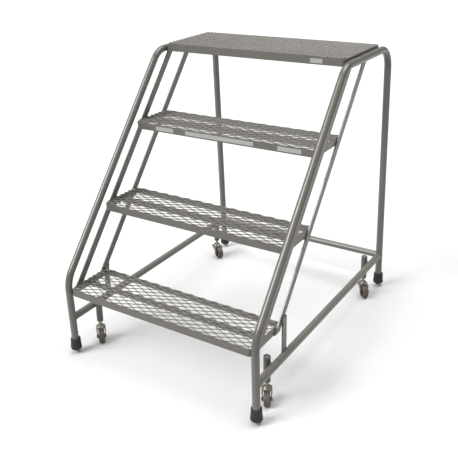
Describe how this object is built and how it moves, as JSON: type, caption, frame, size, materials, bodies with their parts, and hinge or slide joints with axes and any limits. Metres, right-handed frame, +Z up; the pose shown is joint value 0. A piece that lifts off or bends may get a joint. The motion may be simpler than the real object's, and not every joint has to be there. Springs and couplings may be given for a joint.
{
  "type": "rolling warehouse ladder",
  "caption": "Low rolling warehouse ladder: mesh steps and a mesh platform between bent-tube side frames, on spring-loaded swivel casters that let the rubber feet down under load.",
  "frame": {"origin": "on the floor, midway between the front and rear legs and between the two sides, with no load on the ladder", "axes": "+X to the right of a person climbing, +Y from the bottom step to the rear legs, +Z up"},
  "size_m": [0.801, 1.075, 1.0345],
  "materials": {
    "frame_paint": "warm grey semi-gloss powder coat",
    "foot_rubber": "matte black moulded rubber",
    "zinc_plate": "bright zinc plate, slightly dulled",
    "spring_steel": "oiled spring wire",
    "axle_steel": "dark oxide",
    "hub_plastic": "black nylon",
    "tyre": "grey-brown hard rubber tread, satin",
    "label_vinyl": "blank pale adhesive plates"
  },
  "bodies": {
    "ladder": {"side_frame_left": "frame_paint", "side_frame_right": "frame_paint", "base_rail_left": "frame_paint", "base_rail_right": "frame_paint", "base_rail_rear": "frame_paint", "stringer_front_left": "frame_paint", "stringer_front_right": "frame_paint", "stringer_rear_left": "frame_paint", "stringer_rear_right": "frame_paint", "post_left": "frame_paint", "post_right": "frame_paint", "step_1_edge_bar": "frame_paint", "step_2_edge_bar": "frame_paint", "step_3_edge_bar": "frame_paint", "platform_edge_bar": "frame_paint", "step_1_rear_bar": "frame_paint", "step_2_rear_bar": "frame_paint", "step_3_rear_bar": "frame_paint", "platform_rear_bar": "frame_paint", "mesh_stiffeners": "frame_paint", "step_1_mesh": "frame_paint", "step_2_mesh": "frame_paint", "step_3_mesh": "frame_paint", "platform_mesh": "frame_paint", "label_plates": "label_vinyl", "foot_tip_front_left": "foot_rubber", "foot_tip_front_right": "foot_rubber", "foot_tip_rear_left": "foot_rubber", "foot_tip_rear_right": "foot_rubber", "caster_housing_front_left": "frame_paint", "caster_housing_front_right": "frame_paint", "caster_housing_rear_left": "frame_paint", "caster_housing_rear_right": "frame_paint", "stem_bushes": "zinc_plate", "housing_plugs": "zinc_plate", "spring_front_left": "spring_steel", "spring_front_right": "spring_steel", "spring_rear_left": "spring_steel", "spring_rear_right": "spring_steel"},
    "stem_body_front_left": {"stem_front_left": "zinc_plate"},
    "fork_body_front_left": {"fork_front_left": "zinc_plate", "axle_front_left": "axle_steel"},
    "wheel_body_front_left": {"hub_front_left": "hub_plastic", "tyre_front_left": "tyre"},
    "stem_body_front_right": {"stem_front_right": "zinc_plate"},
    "fork_body_front_right": {"fork_front_right": "zinc_plate", "axle_front_right": "axle_steel"},
    "wheel_body_front_right": {"hub_front_right": "hub_plastic", "tyre_front_right": "tyre"},
    "stem_body_rear_left": {"stem_rear_left": "zinc_plate"},
    "fork_body_rear_left": {"fork_rear_left": "zinc_plate", "axle_rear_left": "axle_steel"},
    "wheel_body_rear_left": {"hub_rear_left": "hub_plastic", "tyre_rear_left": "tyre"},
    "stem_body_rear_right": {"stem_rear_right": "zinc_plate"},
    "fork_body_rear_right": {"fork_rear_right": "zinc_plate", "axle_rear_right": "axle_steel"},
    "wheel_body_rear_right": {"hub_rear_right": "hub_plastic", "tyre_rear_right": "tyre"}
  },
  "joints": [
    {"name": "stem_slide_front_left", "type": "slide", "parent": "ladder", "child": "stem_body_front_left", "axis": [0, 0, 1], "range_m": [0, 0.015], "stiffness_N_per_m": 4300, "springref_m": -0.027, "deforming": ["spring_front_left"]},
    {"name": "fork_swivel_front_left", "type": "hinge", "parent": "stem_body_front_left", "child": "fork_body_front_left", "pos_m": [-0.3554, -0.4055, 0.056], "axis": [0, 0, 1], "continuous": true},
    {"name": "wheel_roll_front_left", "type": "hinge", "parent": "fork_body_front_left", "child": "wheel_body_front_left", "pos_m": [-0.3422, -0.41917, 0.0254], "axis": [0.7193, 0.6947, 0], "continuous": true},
    {"name": "stem_slide_front_right", "type": "slide", "parent": "ladder", "child": "stem_body_front_right", "axis": [0, 0, 1], "range_m": [0, 0.015], "stiffness_N_per_m": 4300, "springref_m": -0.027, "deforming": ["spring_front_right"]},
    {"name": "fork_swivel_front_right", "type": "hinge", "parent": "stem_body_front_right", "child": "fork_body_front_right", "pos_m": [0.3554, -0.4055, 0.056], "axis": [0, 0, 1], "continuous": true},
    {"name": "wheel_roll_front_right", "type": "hinge", "parent": "fork_body_front_right", "child": "wheel_body_front_right", "pos_m": [0.36461, -0.42212, 0.0254], "axis": [0.8746, 0.4848, 0], "continuous": true},
    {"name": "stem_slide_rear_left", "type": "slide", "parent": "ladder", "child": "stem_body_rear_left", "axis": [0, 0, 1], "range_m": [0, 0.015], "stiffness_N_per_m": 4300, "springref_m": -0.027, "deforming": ["spring_rear_left"]},
    {"name": "fork_swivel_rear_left", "type": "hinge", "parent": "stem_body_rear_left", "child": "fork_body_rear_left", "pos_m": [-0.3554, 0.409, 0.056], "axis": [0, 0, 1], "continuous": true},
    {"name": "wheel_roll_rear_left", "type": "hinge", "parent": "fork_body_rear_left", "child": "wheel_body_rear_left", "pos_m": [-0.33929, 0.39893, 0.0254], "axis": [0.5299, 0.848, 0], "continuous": true},
    {"name": "stem_slide_rear_right", "type": "slide", "parent": "ladder", "child": "stem_body_rear_right", "axis": [0, 0, 1], "range_m": [0, 0.015], "stiffness_N_per_m": 4300, "springref_m": -0.027, "deforming": ["spring_rear_right"]},
    {"name": "fork_swivel_rear_right", "type": "hinge", "parent": "stem_body_rear_right", "child": "fork_body_rear_right", "pos_m": [0.3554, 0.409, 0.056], "axis": [0, 0, 1], "continuous": true},
    {"name": "wheel_roll_rear_right", "type": "hinge", "parent": "fork_body_rear_right", "child": "wheel_body_rear_right", "pos_m": [0.36761, 0.39444, 0.0254], "axis": [0.766, 0.6428, 0], "continuous": true}
  ]
}
